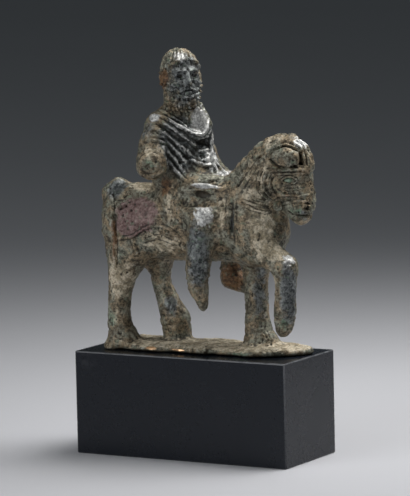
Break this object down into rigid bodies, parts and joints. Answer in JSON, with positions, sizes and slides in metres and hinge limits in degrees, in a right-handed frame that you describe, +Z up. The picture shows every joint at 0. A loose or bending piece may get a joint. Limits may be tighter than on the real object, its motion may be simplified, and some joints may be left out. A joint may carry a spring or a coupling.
{
  "type": "equestrian statuette",
  "caption": "Small cast-bronze statuette of a bearded, cloaked rider on a walking horse, one forearm broken off, on a plain black rectangular plinth.",
  "frame": {"origin": "centre of the plinth's underside", "axes": "+Z up, +X the way the horse walks, +Y the horse's left side"},
  "size_m": [0.0827, 0.0358, 0.1348],
  "materials": {
    "black_lacquer": "black lacquer, satin, with a fine polished arris",
    "bronze": "old cast bronze: dark brown-green patina, tan earth in the hollows, rubbed high points"
  },
  "bodies": {
    "root": {"plinth": "black_lacquer", "horse_and_rider": "bronze"}
  },
  "joints": []
}
